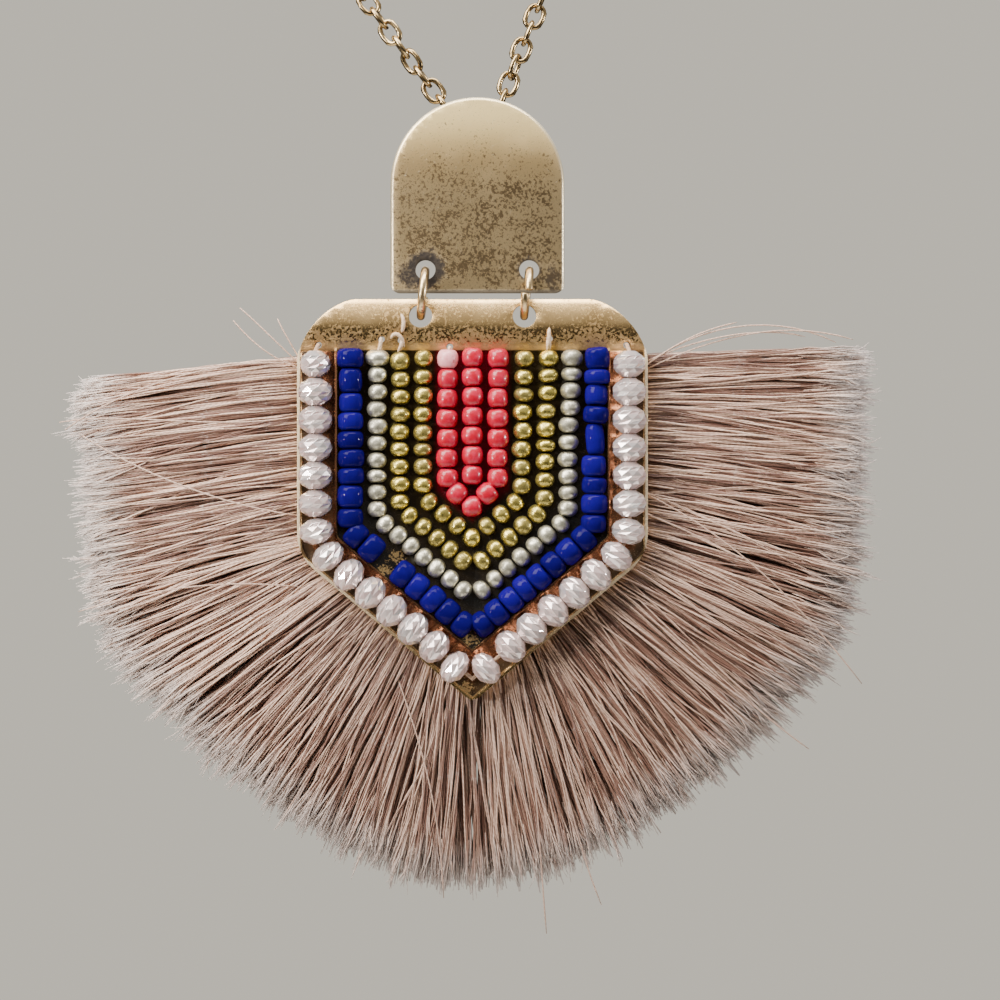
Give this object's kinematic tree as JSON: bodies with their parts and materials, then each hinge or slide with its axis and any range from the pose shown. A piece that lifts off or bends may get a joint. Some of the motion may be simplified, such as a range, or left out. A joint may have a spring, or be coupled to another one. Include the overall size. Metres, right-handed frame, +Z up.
{
  "type": "tassel necklace",
  "caption": "Necklace with an arched plaque on a fine chain and, hung from it on jump rings, a beaded shield edged with faceted glass stones and a fan of silky fringe.",
  "frame": {"origin": "where the closed chain rests on the nape of the neck, at the loop of the fastened clasp", "axes": "+Z up as worn; the pendant's face looks along -Y, and +X is to the right of someone facing the wearer"},
  "size_m": [0.1218, 0.1343, 0.2557],
  "materials": {
    "antique_gold": "worn antique gold, satin",
    "ring_gold": "polished gold wire",
    "chain_gold": "antique gold wire",
    "white_glass": "milky opal with a pearly coating",
    "blue_bead": "opaque, glossy",
    "silver_bead": "metallic, satin",
    "gold_bead": "metallic, glossy",
    "pink_bead": "opaque, glossy",
    "fringe_thread": "silky plied thread",
    "bead_thread": "matt cream thread"
  },
  "bodies": {
    "root": {"plaque": "antique_gold", "end_ring_left": "ring_gold", "end_ring_right": "ring_gold", "chain_left": "chain_gold", "chain_right": "chain_gold", "clasp": "ring_gold", "clasp_ring": "ring_gold"},
    "rings": {"jump_ring_left": "ring_gold", "jump_ring_right": "ring_gold"},
    "drop": {"shield": "antique_gold", "fringe": "fringe_thread", "stone_thread": "bead_thread", "blue_row": "blue_bead", "silver_row": "silver_bead", "gold_outer_row": "gold_bead", "gold_inner_row": "gold_bead", "pink_outer_row": "pink_bead", "pink_centre_row": "pink_bead", "stone_01": "white_glass", "stone_02": "white_glass", "stone_03": "white_glass", "stone_04": "white_glass", "stone_05": "white_glass", "stone_06": "white_glass", "stone_07": "white_glass", "stone_08": "white_glass", "stone_09": "white_glass", "stone_10": "white_glass", "stone_11": "white_glass", "stone_12": "white_glass", "stone_13": "white_glass", "stone_14": "white_glass", "stone_15": "white_glass", "stone_16": "white_glass", "stone_17": "white_glass", "stone_18": "white_glass", "stone_19": "white_glass", "stone_20": "white_glass", "stone_21": "white_glass", "stone_22": "white_glass", "stone_23": "white_glass", "stone_24": "white_glass", "stone_25": "white_glass", "stone_26": "white_glass", "stone_27": "white_glass", "stone_28": "white_glass"}
  },
  "joints": [
    {"name": "rings_swing", "type": "hinge", "parent": "root", "child": "rings", "pos_m": [0, -0.128, -0.1877], "axis": [1, 0, 0], "range_deg": [-25, 25]},
    {"name": "drop_swing", "type": "hinge", "parent": "rings", "child": "drop", "pos_m": [0, -0.128, -0.19252], "axis": [1, 0, 0], "range_deg": [-25, 25]}
  ]
}
